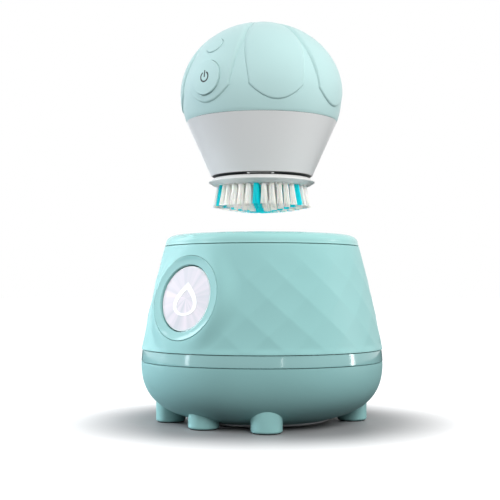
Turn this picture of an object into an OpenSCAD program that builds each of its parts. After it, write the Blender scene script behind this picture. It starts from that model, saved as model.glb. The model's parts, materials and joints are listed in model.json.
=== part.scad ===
// Facial cleansing brush: a palm-sized orb with a spinning bristle head, and the
// footed cleaning station that it docks into bristles down.
// Millimetres, +Z up. The origin is the middle of the footprint, on the floor.
// The front, with the orb's buttons and the station's button, faces -Y.

/* [Station outside] */
// Height of the station's flat rim above the floor
rim_top = 84.6; // [80:0.2:90]
// Height of the seam under the rim ring
rim_seam = 79.5; // [77:0.1:80]
// Radius at the seam under the rim ring
rim_seam_r = 44.4; // [43:0.1:46]
// Widest radius of the station, at the trim band
station_r = 54.9; // [53:0.1:57]
// Top edge of the trim band
band_top = 33; // [31:0.1:34]
// Bottom edge of the trim band
band_bottom = 27.7; // [26:0.1:29]
// How far the side of the shell bulges past a straight cone
shell_bulge = 0.75; // [0.5:0.05:1.6]
// Lowest height of the bowl
bowl_bottom = 1.2; // [1:0.1:1.6]
// Wall of the station's mouldings
station_wall = 2.2; // [1.8:0.1:2.4]

/* [Feet] */
// Diameter of a foot
foot_d = 13.4; // [11:0.1:14]
// Distance of the four side feet from the axis
foot_ring = 41.5; // [40:0.1:42]
// Distance of the foot under the front button from the axis
front_foot_ring = 38; // [37:0.1:40]
// Thickness of the rubber pad under a foot
pad_h = 0.8; // [0.5:0.1:1]

/* [Station button] */
// Height of the button's centre
station_button_z = 56.5; // [54:0.5:58]
// Diameter of the pale disc
disc_d = 28.4; // [26:0.2:29]
// Outside diameter of the glossy ring round the disc
bezel_d = 37; // [35:0.2:37.4]
// How deep the disc's face sits below the shell's surface
disc_depth = 1.4; // [1:0.1:1.8]

/* [Orb] */
// How far the orb is held above its seat in the station
orb_lift = 51.3; // [45:0.1:60]
// Radius of the orb at its equator, between the petals
orb_r = 36.8; // [36:0.1:37.2]
// Height of the dome above the equator
dome_h = 32.9; // [31:0.1:34]
// How far the petals stand proud
petal_relief = 0.7; // [0.4:0.1:0.8]
// Number of petals round the dome
petals = 7; // [6:1:8]
// Depth of the seam below the equator
seam_drop = 12.4; // [12:0.1:13]
// Height of the pale cone below the seam
cone_h = 24.9; // [24:0.1:25.2]
// Radius of the cone's lower edge
cone_bottom_r = 23.2; // [22.8:0.1:23.6]
// Diameter of the power button
power_d = 16; // [14:0.2:16.4]
// Diameter of the mode button
mode_d = 8.8; // [8:0.2:9.4]

/* [Brush head] */
// Radius of the bristle plate
plate_r = 24.45; // [23:0.05:24.6]
// Gap between the cone and the plate
plate_gap = 1.1; // [0.9:0.1:1.4]
// Thickness of the plate
plate_h = 3.7; // [3.4:0.1:4]
// Rings of tufts round the middle one
tuft_rings = 6; // [4:1:6]
// Radius of the outer ring of tufts at the plate
tuft_ring_r = 19.6; // [18:0.1:20]
// Length of an outer tuft
tuft_h = 9.5; // [8:0.5:10]
// How much longer the middle tuft is
tuft_crown = 2.4; // [0:0.2:2.6]

/* [Gears] */
// Module of both gear stages
gear_module = 0.5;
// Teeth on the motor's pinion
pinion_teeth = 12;
// Teeth on the idler's large wheel
idler_teeth = 42;
// Teeth on the idler's small wheel
idler_pinion_teeth = 14;
// Teeth on the output gear
output_teeth = 36;

/* [Hidden] */
$fn = 96;
eps = 0.01;
play = 0.05;        // radial clearance of a running or drop-in fit
seat_gap = 0.35;    // air between the docked orb and the rim
foot_angles = [0, 44, -44, 135, -135];   // from the front, round the station
shell_seam_gap = 0.1;

// Heights on the orb, all from the floor
orb_docked_z = rim_top + 1 + seam_drop;  // equator when docked
orb_z = orb_docked_z + orb_lift;         // equator as built
seam_z = orb_z - seam_drop;
cone_z = seam_z - cone_h;                // lower edge of the cone
plate_top = cone_z - plate_gap;
plate_bottom = plate_top - plate_h;
seam_r = sqrt(orb_r * orb_r - seam_drop * seam_drop);
cone_slope = (seam_r - cone_bottom_r) / cone_h;
grip_wall = 2.2;
cone_wall = 2;

// Gearbox: the output is on the orb's axis, the idler beside it
output_idler = gear_module * (output_teeth + idler_pinion_teeth) / 2;
idler_motor = gear_module * (idler_teeth + pinion_teeth) / 2;
motor_angle = 140;                       // direction of the motor from the idler
idler_at = [output_idler, 0];
motor_at = idler_at + idler_motor * [cos(motor_angle), sin(motor_angle)];
stage_two_z = cone_z + 9.8;              // underside of the output gear
stage_one_z = cone_z + 14.8;             // underside of the idler's large wheel
gear_h = 3.4;
gearbox_z = cone_z + 18.8;               // underside of the gearbox plate
chassis_z = cone_z + 27.3;               // underside of the chassis plate
board_z = chassis_z + 5;                 // underside of the main board
motor_r = 8;
motor_z = gearbox_z + 1.6;
motor_h = 18;
battery_z = orb_z + 12;
battery_r = 7;
battery_l = 50;

// Station inside
well_floor = 38;
well_r = 26.5;
well_wall = 1.6;
coil_z = 57;                             // underside of the station's coil
grille_z = 36.6;
frame_z = 34;                            // underside of the station's frame plate
frame_h = 2;
fan_size = 40;
fan_h = 10;
fan_z = frame_z - fan_h;
station_board_z = 16.2;
jack_z = station_board_z + 6.1;
cover_r = 30.8;
ledge_r = 27;                            // inside of the ledge that the cover sits on
cover_screw_r = 28.9;

// ---- Colours ----
soft_aqua = [0.73, 0.89, 0.88];
aqua = [0.58, 0.80, 0.79];
gloss_aqua = [0.55, 0.80, 0.78];
pale_grey = [0.80, 0.82, 0.84];
white = [0.95, 0.95, 0.94];
teal = [0.0, 0.78, 0.83];
rubber_black = [0.08, 0.08, 0.09];
steel = [0.72, 0.73, 0.75];
copper = [0.80, 0.47, 0.26];
board_green = [0.10, 0.38, 0.24];
brass = [0.78, 0.64, 0.32];

// ---- Outline functions: lists of [radius, height] ----

// Points from a to b along a shallow outward curve
function bowed(a, b, sag, n = 12) =
    let (d = b - a, out = [-d[1], d[0]] / norm(d))
    [for (i = [0:n]) let (t = i / n) a + d * t + out * sag * 4 * t * (1 - t)];

// Side of the station's shell, from its top edge down to the band, moved out by grow
function shell_side(grow = 0) =
    bowed([rim_seam_r + grow, rim_seam], [station_r + grow, band_top], shell_bulge);

// Radius of the shell's surface at height z
function shell_r(z) =
    let (t = (rim_seam - z) / (rim_seam - band_top))
    rim_seam_r + (station_r - rim_seam_r) * t + shell_bulge * 4 * t * (1 - t) * cos(button_tilt);

// The bowl, from the band round to its flat bottom, with its wall moved in by inset
bowl_flat_r = 20;
bowl_power = 2.5;
function bowl_side(inset = 0, n = 20) =
    let (a = station_r - bowl_flat_r - inset, b = band_bottom - bowl_bottom - inset)
    [for (i = [0:n]) let (t = 90 * i / n)
        [bowl_flat_r + a * pow(cos(t), 2 / bowl_power),
         band_bottom - b * pow(sin(t), 2 / bowl_power)]];

// The dome: a flattened top half on a spherical lower half, both moved out by grow
function dome_side(grow, from, to, n = 22) =
    [for (i = [0:n]) let (t = from + (to - from) * i / n, half = t > 0 ? dome_h : orb_r)
        [(orb_r + grow) * cos(t), (half + grow) * sin(t)]];

function cone_r(z) = cone_bottom_r + cone_slope * (z - cone_z);

// ---- Shared shapes ----

// Ring or disc of revolution between two radii
module ring(inner, outer, z, h) {
    translate([0, 0, z]) difference() {
        cylinder(r = outer, h = h);
        if (inner > 0) translate([0, 0, -1]) cylinder(r = inner, h = h + 2);
    }
}

module turned(points) {
    rotate_extrude() polygon(points);
}

module spin(angle) {
    rotate([0, 0, angle]) children();
}

// A pan-head screw with its head's underside at z = 0 and its shank pointing down
module screw(shank_r, shank_l, head_r, head_h) {
    translate([0, 0, -shank_l]) cylinder(r = shank_r, h = shank_l + eps);
    difference() {
        cylinder(r = head_r, h = head_h);
        for (a = [0, 90]) spin(a) translate([-head_r * 0.6, -head_r * 0.14, head_h * 0.5])
            cube([head_r * 1.2, head_r * 0.28, head_h]);
    }
}

// Places children with +Z along the outward normal at an orb button, z = 0 on the petal
function orb_button_r(t) = (orb_r + petal_relief) * cos(t);
function orb_button_z(t) = orb_z + (dome_h + petal_relief) * sin(t);
function orb_button_tilt(t) = atan(tan(t) * orb_r / dome_h);
power_t = 5.6;    // parameter angle of the power button up the dome
mode_t = 33;    // and of the mode button
module at_orb_button(t) {
    translate([0, -orb_button_r(t), orb_button_z(t)])
        rotate([90 - orb_button_tilt(t), 0, 0]) children();
}

// Places children with +Z out of the station's front, z = 0 on the shell's surface
button_tilt = atan((station_r - rim_seam_r) / (rim_seam - band_top));
module at_station_button() {
    translate([0, -shell_r(station_button_z), station_button_z])
        rotate([90 - button_tilt, 0, 0]) children();
}

// ---- Gears ----

pressure_angle = 20;
addendum = 0.75;    // of the module: stub teeth, so the small pinions need no undercut
dedendum = 1.25;
backlash = 0.12;    // thinning of each tooth at the pitch circle
function involute(base, r) = let (a = acos(min(1, base / r))) tan(a) * 180 / PI - a;
function gear_outline(teeth) =
    let (pitch = gear_module * teeth / 2,
         base = pitch * cos(pressure_angle),
         tip = pitch + addendum * gear_module,
         root = pitch - dedendum * gear_module,
         start = max(base, root) + eps,
         flank = [for (i = [0:4]) start + (tip - start) * i / 4],
         half = function (r) 90 / teeth - backlash / 2 / pitch * 180 / PI
             + involute(base, pitch) - involute(base, r),
         polar = function (r, a) [r * cos(a), r * sin(a)])
    [for (k = [0:teeth - 1]) let (mid = 360 * k / teeth)
        each concat([polar(root, mid - half(start))],
                    [for (r = flank) polar(r, mid - half(r))],
                    [for (i = [4:-1:0]) polar(flank[i], mid + half(flank[i]))],
                    [polar(root, mid + half(start))])];

module gear(teeth, h, bore) {
    difference() {
        linear_extrude(h) polygon(gear_outline(teeth));
        translate([0, 0, -1]) cylinder(r = bore, h = h + 2);
    }
}

// ---- Orb: shells ----

// Solid dome, grown outwards by grow and cut off at the seam
module dome_solid(grow) {
    low = -asin(seam_drop / (orb_r + grow));
    translate([0, 0, orb_z])
        turned(concat([[0, -seam_drop]], dome_side(grow, low, 90)));
}

// Front view of one petal: a round lower end, sides that close towards the crown
petal_low = -8.1;       // lowest point of a petal, from the equator
petal_half = 11.9;      // half its greatest width
crown_r = 17.4;         // where neighbouring petals meet
crown_z = 27.9;
module petal_outline() {
    lower = [for (i = [0:8]) let (t = -180 + 180 * i / 8)
        [petal_half * cos(t), -2 + (2 + petal_low) * -sin(t)]];
    polygon(concat([[-7.4, 34], [-7.4, crown_z + 1], [-8.9, 25.6], [-11.3, 16.9], [-12.1, 9.4]],
                   lower,
                   [[12.1, 9.4], [11.3, 16.9], [8.9, 25.6], [7.4, crown_z + 1], [7.4, 34]]));
}

module petal_blocks() {
    for (k = [0:petals - 1]) spin(k * 360 / petals)
        translate([0, 0, orb_z]) rotate([90, 0, 0]) translate([0, 0, 3])
            linear_extrude(orb_r + 5) petal_outline();
    translate([0, 0, orb_z + crown_z]) cylinder(r = crown_r, h = 10);
}

module grip_shell() {
    color(soft_aqua) difference() {
        union() {
            dome_solid(0);
            intersection() {
                dome_solid(petal_relief);
                petal_blocks();
            }
        }
        translate([0, 0, -eps]) dome_solid(-grip_wall);
        at_orb_button(power_t) translate([0, 0, -8]) cylinder(d = power_d, h = 12);
        at_orb_button(mode_t) translate([0, 0, -8]) cylinder(d = mode_d, h = 12);
    }
}

// A button cap with a retaining flange inside the shell and a stem for its switch
cap_gap = 0.35;        // air round a cap
cap_proud = 0.7;       // how far a cap stands out of its petal
module button_cap(d, flange_depth, stem_depth) {
    r = d / 2 - cap_gap;
    intersection() {
        translate([0, 0, -flange_depth]) cylinder(r = r, h = flange_depth + 2);
        translate([0, 0, cap_proud - orb_r]) sphere(r = orb_r);
    }
    translate([0, 0, -flange_depth - 0.8]) cylinder(r = r + 0.8, h = 0.8 + eps);
    translate([0, 0, -stem_depth]) cylinder(r = 1.8, h = stem_depth - flange_depth);
}

module power_button() {
    color(soft_aqua) difference() {
        at_orb_button(power_t) button_cap(power_d, 4.4, 6.2);
        at_orb_button(power_t) translate([0, 0, cap_proud - 0.25]) power_symbol();
    }
}

// The usual on-off sign: an open ring with a bar through its gap
module power_symbol() {
    linear_extrude(2) {
        difference() {
            circle(r = 2.3);
            circle(r = 1.7);
            translate([-0.95, 0]) square([1.9, 4]);
        }
        translate([-0.3, 0.1]) square([0.6, 2.6]);
    }
}

module mode_button() {
    color(soft_aqua) at_orb_button(mode_t) button_cap(mode_d, 3.7, 6.2);
}

// Two small round boards, each with a tact switch facing its button's stem
switch_plane = 11.2;
module switch_boards() {
    for (b = [[power_t, 4.8], [mode_t, 4.1]]) at_orb_button(b[0]) {
        color(board_green) translate([0, 0, -switch_plane]) cylinder(r = b[1], h = 1.2);
        color(rubber_black) translate([-2.4, -2.4, -switch_plane + 1.2]) cube([4.8, 4.8, 2.2]);
        color(white) translate([0, 0, -switch_plane + 3.4]) cylinder(r = 1.4, h = 0.9);
    }
}

// Pale cone under the seam, with the neck lugs, gearbox posts and bearing boss
gearbox_posts = [[-17.5, 0], [8, -15.6], [-4.4, 17]];
chassis_posts = [[60, 27.2], [180, 27.2], [300, 27.2]];   // angle and distance
module lower_housing() {
    top = seam_z - shell_seam_gap;
    color(pale_grey) difference() {
        union() {
            turned([[3, cone_z], [cone_bottom_r - 1.2, cone_z],
                    [cone_bottom_r - 0.35, cone_z + 0.35], [cone_r(cone_z + 1.3), cone_z + 1.3],
                    [cone_r(top), top], [cone_r(top) - cone_wall, top],
                    [cone_r(cone_z + cone_wall) - cone_wall, cone_z + cone_wall],
                    [3, cone_z + cone_wall]]);
            ring(0, 7.5, cone_z + 0.5, 7.3);
            for (p = gearbox_posts) translate([p[0], p[1], cone_z + 1])
                cylinder(r = 2.4, h = gearbox_z - cone_z - 1);
            translate([idler_at[0], 0, cone_z + 1]) cylinder(r = 2.4, h = 7.6);
            intersection() {
                for (p = chassis_posts) spin(p[0]) translate([p[1], 0, cone_z + 8])
                    cylinder(r = 2.8, h = chassis_z - cone_z - 8);
                turned([[0, cone_z], [cone_bottom_r - 0.5, cone_z], [seam_r - 0.5, seam_z],
                    [seam_r - 0.5, chassis_z], [0, chassis_z]]);
            }
            for (k = [0:2]) spin(k * 120 + 39.5 - 13 - 90) translate([0, 0, cone_z - 0.8])
                rotate_extrude(angle = 26) translate([20.6, 0]) square([1.5, 0.9]);
        }
        translate([0, 0, cone_z - 1]) cylinder(r = 5 + eps, h = 12);
        for (p = gearbox_posts) translate([p[0], p[1], gearbox_z - 6]) cylinder(r = 1, h = 8);
        translate([idler_at[0], 0, cone_z + 3]) cylinder(r = 1 + eps, h = 8);
        for (p = chassis_posts) spin(p[0]) translate([p[1], 0, chassis_z - 8])
            cylinder(r = 1, h = 9);
    }
}

module seam_seal() {
    color(rubber_black) ring(30.6, 31.8, seam_z - 1.4, 2.8);
}

// Dark lip seal that closes the cone round the turning shaft
module neck_seal() {
    color(rubber_black) ring(3 + play, 20.4, cone_z - 0.7, 0.7);
}

module shaft_bushing() {
    color(brass) ring(3 + play, 5, cone_z + 0.1, 7.6);
}

// ---- Orb: drive ----

module drive_shaft() {
    color(steel) {
        translate([0, 0, cone_z - 1]) cylinder(r = 3, h = stage_two_z + gear_h + 1.2 - cone_z + 1);
        translate([0, 0, plate_top - 3]) cylinder(r = 3, h = 3 + plate_gap, $fn = 6);
    }
}

module output_gear() {
    color(white) translate([0, 0, stage_two_z]) gear(output_teeth, gear_h, 3 + eps);
}

module idler_axle() {
    color(steel) translate([idler_at[0], 0, cone_z + 3.2])
        cylinder(r = 1, h = gearbox_z - cone_z - 3.2 + 1.2);
}

// Large and small wheel moulded together
module idler_gear() {
    small_h = stage_one_z - stage_two_z;
    color(white) translate([idler_at[0], 0, 0]) {
        translate([0, 0, stage_one_z]) spin(motor_angle) gear(idler_teeth, gear_h - 0.4, 1 + play);
        translate([0, 0, stage_two_z]) spin(180 / idler_pinion_teeth)
            gear(idler_pinion_teeth, small_h + eps, 1 + play);
    }
}

module motor_shaft() {
    color(steel) translate([motor_at[0], motor_at[1], stage_one_z - 0.3])
        cylinder(r = 1, h = motor_z + motor_h - 1 - stage_one_z);
}

module motor_pinion() {
    color(brass) translate([motor_at[0], motor_at[1], stage_one_z])
        spin(motor_angle + 180 + 180 / pinion_teeth) gear(pinion_teeth, gear_h - 0.2, 1);
}

module motor_can() {
    color(steel) translate([motor_at[0], motor_at[1], motor_z]) difference() {
        union() {
            cylinder(r = motor_r, h = motor_h);
            translate([0, 0, -1.4]) cylinder(r = 3, h = 1.5);
        }
        translate([0, 0, -2]) cylinder(r = 1 + play, h = motor_h + 1.2);
    }
}

module gearbox_plate() {
    color(pale_grey) difference() {
        ring(0, 23.6, gearbox_z, 1.6);
        translate([motor_at[0], motor_at[1], gearbox_z - 1]) cylinder(r = 3 + play, h = 4);
        translate([idler_at[0], 0, gearbox_z - 1]) cylinder(r = 1 + eps, h = 4);
        for (p = gearbox_posts) translate([p[0], p[1], gearbox_z - 1]) cylinder(r = 1.2, h = 4);
    }
}

module inner_chassis() {
    tower_y = -17;
    color(pale_grey) difference() {
        union() {
            ring(0, 30.2, chassis_z, 2);
            for (x = [-22, 22], y = [-12, 14]) translate([x, y, chassis_z + 1])
                cylinder(r = 1.6, h = board_z - chassis_z - 1);
            translate([-6, tower_y, chassis_z + 1]) cube([12, 2.4, orb_z + 12 - chassis_z]);
            for (t = [power_t, mode_t]) intersection() {
                at_orb_button(t) translate([0, 0, -switch_plane - 20]) cylinder(r = 2.6, h = 20);
                translate([-20, tower_y + 1 - 40, chassis_z]) cube([40, 40, 80]);
            }
        }
        translate([motor_at[0], motor_at[1], chassis_z - 1]) cylinder(r = motor_r + 0.2, h = 4);
        for (p = chassis_posts) spin(p[0]) translate([p[1], 0, chassis_z - 1])
            cylinder(r = 1.2, h = 4);
    }
}

// Three screws hold the chassis and three hold the gearbox plate
module chassis_screws() {
    color(steel) {
        for (p = chassis_posts) spin(p[0]) translate([p[1], 0, chassis_z + 2])
            screw(1 - play, 8, 2, 1.3);
        for (p = gearbox_posts) translate([p[0], p[1], gearbox_z + 1.6])
            screw(1 - play, 6, 2, 1.3);
    }
}

module main_board() {
    color(board_green) difference() {
        ring(0, 28.6, board_z, 1.6);
        translate([motor_at[0], motor_at[1], board_z - 1]) cylinder(r = motor_r + 0.5, h = 4);
        translate([-7, -17.6, board_z - 1]) cube([14, 3.6, 4]);
    }
}

module board_parts() {
    top = board_z + 1.6;
    color(rubber_black) {
        translate([-14, -12, top]) cube([7, 7, 1.2]);
        translate([10, -14, top]) cube([5, 4, 1.5]);
        translate([-15, 13, top]) cube([6, 4, 2]);
    }
    color(steel) for (x = [-22.5, 22.5]) translate([x, 0, top]) cylinder(r = 1.6, h = 3.4);
    color(white) translate([14, 12, top]) cube([5, 7, 4]);
}

module battery_cell() {
    color([0.25, 0.45, 0.70]) translate([-battery_l / 2, 0, battery_z]) rotate([0, 90, 0]) {
        cylinder(r = battery_r, h = battery_l - 1);
        cylinder(r = 2.8, h = battery_l);
    }
}

module battery_cradle() {
    top = board_z + 1.6;
    color(white) difference() {
        for (x = [-17, 17]) translate([x - 1.8, -8.4, top])
            cube([3.6, 16.8, battery_z + 2 - top]);
        translate([-30, 0, battery_z]) rotate([0, 90, 0]) cylinder(r = battery_r + play, h = 60);
        translate([-30, -battery_r - play, battery_z]) cube([60, 2 * (battery_r + play), 10]);
    }
}

module receiver_coil() {
    color(copper) ring(20.2, 21.8, cone_z + cone_wall + 0.1, 4.9);
}

// ---- Brush head ----

module head_plate() {
    rim_z = plate_top - 1.7;
    color(white) difference() {
        turned([[0, plate_bottom], [20.9, plate_bottom], [22.3, plate_bottom + 0.5],
                [plate_r - 0.25, rim_z - 0.35], [plate_r, rim_z], [plate_r - 0.2, rim_z + 0.4],
                [22.6, plate_top - 0.25], [21.8, plate_top], [0, plate_top]]);
        translate([0, 0, plate_top - 3.1]) cylinder(r = 3 + 2 * play, h = 4, $fn = 6);
    }
}

// Ring k holds 6 k tufts, and every kth one lies on one of six coloured spokes
tuft_turn = 33.8;      // angle of the first coloured spoke from the front
root_r = 1.15;
tip_r = 1.5;
function tuft_length(k) = tuft_h + tuft_crown * (1 - pow(k / tuft_rings, 2));
function tuft_splay(k) = 14 * pow(k / tuft_rings, 2);
module tuft(k) {
    cut = tuft_length(k) * cos(tuft_splay(k));
    intersection() {
        rotate([180 - tuft_splay(k), 0, 0]) translate([0, 0, -1])
            cylinder(r1 = root_r, r2 = tip_r, h = tuft_length(k) + 2);
        translate([-5, -9, -cut]) cube([10, 18, cut]);
    }
}

module tufts(coloured) {
    spoke_step = 60;
    translate([0, 0, plate_bottom]) {
        if (coloured) tuft(0);
        for (k = [1:tuft_rings], i = [0:6 * k - 1])
            if ((i % k == 0) == coloured)
                spin(tuft_turn + spoke_step * i / k)
                    translate([0, -tuft_ring_r * k / tuft_rings, 0]) tuft(k);
    }
}

module bristles_white() {
    color(white) tufts(false);
}

module bristles_teal() {
    color(teal) tufts(true);
}

// ---- Station: outer mouldings ----

function seat_r(z) = seam_r + seat_gap - cone_slope * (rim_top + 1 - z);
rim_flat_r = 37.7;
module rim_ring() {
    bottom = rim_seam + shell_seam_gap;
    color(gloss_aqua) turned(concat(
        [[seat_r(bottom), bottom], [rim_seam_r, bottom]],
        [for (i = [0:8]) let (t = 90 * i / 8)
            [rim_flat_r + (rim_seam_r - 0.35 - rim_flat_r) * pow(cos(t), 0.8),
             rim_seam + 0.6 + (rim_top - rim_seam - 0.6) * pow(sin(t), 0.8)]],
        [[seat_r(rim_top) + 0.5, rim_top], [seat_r(rim_top - 0.4), rim_top - 0.4]]));
}

pocket_r = bezel_d / 2 + 0.1;
module shell_block(grow) {
    turned(concat([[0, rim_seam]], shell_side(grow), [[0, band_top]]));
}

// Tapered shell, with a round pocket behind its front button
module station_shell() {
    color(aqua) union() {
        difference() {
            turned(concat(shell_side(0), [for (i = [12:-1:0]) shell_side(-station_wall)[i]]));
            at_station_button() translate([0, 0, -30]) cylinder(r = pocket_r, h = 45);
        }
        intersection() {
            at_station_button() difference() {
                translate([0, 0, -13]) cylinder(r = pocket_r + 1.4, h = 14.5);
                translate([0, 0, -5.5]) cylinder(r = pocket_r, h = 10);
                translate([0, 0, -11.6]) cylinder(r = pocket_r - 2, h = 12);
            }
            shell_block(-0.6);
        }
    }
}

module bezel_ring() {
    color(gloss_aqua) intersection() {
        at_station_button() difference() {
            translate([0, 0, -5.4]) cylinder(d = bezel_d, h = 12);
            translate([0, 0, -9]) cylinder(r = disc_d / 2 + 0.35, h = 20);
        }
        shell_block(0.25);
    }
}

disc_h = 3;
module station_button() {
    color([0.86, 0.85, 0.88]) at_station_button() {
        translate([0, 0, -disc_depth - disc_h]) cylinder(d = disc_d, h = disc_h);
        translate([0, 0, -disc_depth - disc_h - 2.6]) cylinder(r = 3, h = 2.7);
    }
}

// Outline of a falling drop, point up, of the given height
function drop(h, n = 36) =
    [for (i = [0:n - 1]) let (t = 360 * i / n)
        [h * 0.62 * sin(t) * pow(sin(t / 2), 1.4), h / 2 * cos(t)]];

module button_emblem() {
    line = 1.5;
    height = 15;
    color(white) at_station_button() translate([0, -0.4, -disc_depth])
        linear_extrude(0.25) difference() {
            polygon(drop(height));
            translate([0, -0.75]) polygon(drop(height - 2.6 * line));
        }
}

module button_board() {
    plane = -11.6;
    at_station_button() {
        color(board_green) translate([0, 0, plane]) cylinder(r = pocket_r - 2.4, h = 1.2);
        color(rubber_black) translate([-2.4, -2.4, plane + 1.2]) cube([4.8, 4.8, 2.3]);
        color(white) for (k = [0:5]) spin(k * 60) translate([9.5, 0, plane + 1.2])
            cylinder(r = 1.3, h = 1.2);
    }
}

module trim_band() {
    inset = 0.15;
    gap = 0.12;
    color(gloss_aqua) ring(station_r - station_wall - 0.8, station_r - inset,
        band_bottom + gap, band_top - band_bottom - 2 * gap);
}

function bowl_solid_points(inset) =
    concat([[0, band_bottom]], bowl_side(inset), [[0, bowl_bottom + inset]]);

// Round-bottomed tub with a flat opening below, board posts and the socket's hole
board_posts = [[38, 30], [38, 150], [38, 210], [38, 330]];     // distance and angle
frame_posts = [[46, 20], [46, 160], [46, 200], [46, 340]];
module base_bowl() {
    color(aqua) difference() {
        union() {
            difference() {
                turned(bowl_solid_points(0));
                translate([0, 0, eps]) turned(bowl_solid_points(station_wall));
            }
            intersection() {
                union() {
                    for (p = board_posts) spin(p[1]) translate([p[0], 0, 2])
                        cylinder(r = 2.6, h = station_board_z - 2);
                    for (p = frame_posts) spin(p[1]) translate([p[0], 0, 2])
                        cylinder(r = 2.8, h = frame_z - 2);
                    ring(ledge_r, cover_r + 3, 2.6, 2);
                }
                union() {
                    turned(bowl_solid_points(0.6));
                    ring(0, 51.4, band_bottom - eps, frame_z - band_bottom + eps);
                }
            }
        }
        translate([0, 0, -1]) cylinder(r = cover_r + 0.2, h = 3.6);
        translate([0, 0, 2]) cylinder(r = ledge_r, h = 3.4);
        for (p = board_posts) spin(p[1]) translate([p[0], 0, station_board_z - 6])
            cylinder(r = 1, h = 8);
        for (p = frame_posts) spin(p[1]) translate([p[0], 0, frame_z - 7])
            cylinder(r = 1.2, h = 9);
        for (k = [0:3]) spin(45 + 90 * k) translate([cover_screw_r, 0, 1])
            cylinder(r = 0.8 + eps, h = 6);
        translate([0, 40, jack_z]) rotate([-90, 0, 0]) cylinder(r = 4.6, h = 20);
    }
}

// Flat cover in the bowl's opening, slotted for the air that the fan draws in
module bottom_cover() {
    color(pale_grey) difference() {
        ring(0, cover_r, 1.2, 1.4);
        for (k = [0:11]) spin(30 * k) translate([9, -0.9, 0]) cube([12, 1.8, 4]);
        for (k = [0:3]) spin(45 + 90 * k) translate([cover_screw_r, 0, 0]) {
            cylinder(r = 0.9, h = 4);
            cylinder(r = 1.6, h = 1.85);
        }
    }
}

module cover_screws() {
    color(steel) for (k = [0:3]) spin(45 + 90 * k) translate([cover_screw_r, 0, 1.85])
        rotate([180, 0, 0]) screw(0.8, 2.6, 1.5, 0.6);
}

// A round foot, cut to sit on the bowl's curve
function foot_place(i) = i == 1 ? front_foot_ring : foot_ring;
module at_foot(i) {
    spin(foot_angles[i - 1]) translate([0, -foot_place(i), 0]) children();
}

module foot(i) {
    color(aqua) difference() {
        at_foot(i) translate([0, 0, pad_h]) cylinder(d = foot_d, h = 14);
        turned(bowl_solid_points(-eps));
    }
}

module foot_pad(i) {
    color(rubber_black) at_foot(i) cylinder(d = foot_d - 1.6, h = pad_h);
}

// ---- Station: inside ----

// Cup that takes the brush head, with a flange that hangs it under the rim
module cleaning_well() {
    top = rim_seam - 0.1;
    throat = 66;          // height where the cone-shaped mouth ends
    mouth_r = seat_r(top) + 0.6;
    low = frame_z + frame_h;
    color(white) difference() {
        union() {
            turned([[0, low], [well_r + well_wall - 3, low], [well_r + well_wall, low + 3],
                    [well_r + well_wall, throat], [mouth_r + well_wall, top - 1.6],
                    [rim_seam_r - station_wall - 0.6, top - 1.6],
                    [rim_seam_r - station_wall - 0.6, top], [0, top]]);
            ring(0, 33.6, coil_z - 1.6, 1.6);
        }
        turned([[0, well_floor], [well_r - 4, well_floor], [well_r - 1.2, well_floor + 1.2],
                [well_r, well_floor + 4], [well_r, throat], [mouth_r, top + eps], [0, top + eps]]);
        translate([0, 0, low - 1]) cylinder(r = 13.2, h = 6);
        translate([0, 0, grille_z]) cylinder(r = 14.5 + play, h = 6);
        for (k = [0:2]) spin(30 + 120 * k) translate([well_r - 3, 0, 48]) rotate([0, 90, 0])
            cylinder(r = 2.8 + play, h = 8);
    }
}

module drain_grille() {
    h = well_floor - grille_z;
    bar = 1.2;
    color(pale_grey) {
        ring(12.6, 14.5, grille_z, h);
        intersection() {
            for (x = [-10.5:3.5:10.5]) translate([x - bar / 2, -14, grille_z])
                cube([bar, 28, h - 0.2]);
            ring(0, 13, grille_z, h);
        }
    }
}

// Three ultraviolet emitters: a clear lens in the well's wall with a small board behind
module uv_lamps() {
    for (k = [0:2]) spin(30 + 120 * k) translate([well_r, 0, 48]) rotate([0, 90, 0]) {
        color([0.80, 0.78, 0.95]) cylinder(r = 2.8, h = 2.4);
        color(board_green) translate([-4.5, -4.5, 2.4]) cube([9, 9, 1.2]);
    }
}

module transmitter_coil() {
    color(copper) ring(well_r + well_wall + 0.3, 33.6, coil_z, 7);
}

// Plate that carries the well above and the fan below
module station_frame() {
    color(pale_grey) difference() {
        ring(19.2, 51, frame_z, frame_h);
        at_station_button() translate([0, 0, -13.4]) cylinder(r = pocket_r + 1.7, h = 20);
        for (p = frame_posts) spin(p[1]) translate([p[0], 0, frame_z - 1]) cylinder(r = 1.4, h = 4);
    }
}

module frame_screws() {
    color(steel) {
        for (p = frame_posts) spin(p[1]) translate([p[0], 0, frame_z + frame_h])
            screw(1.1, 8, 2.4, 1.5);
        for (p = board_posts) spin(p[1]) translate([p[0], 0, station_board_z + 1.6])
            screw(0.9, 6, 2, 1.2);
    }
}

fan_hub_r = 8.5;
fan_duct_r = 18.8;
module fan_frame() {
    color(rubber_black) {
        difference() {
            translate([-fan_size / 2, -fan_size / 2, fan_z]) cube([fan_size, fan_size, fan_h]);
            translate([0, 0, fan_z - 1]) cylinder(r = fan_duct_r, h = fan_h + 2);
            for (x = [-16, 16], y = [-16, 16]) translate([x, y, fan_z - 1])
                cylinder(r = 1.7, h = fan_h + 2);
        }
        translate([0, 0, fan_z]) cylinder(r = fan_hub_r, h = 1.4);
        for (k = [0:2]) spin(120 * k + 20) translate([fan_hub_r - 1, -1.2, fan_z])
            cube([fan_duct_r - fan_hub_r + 1.6, 2.4, 1.4]);
    }
}

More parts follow.
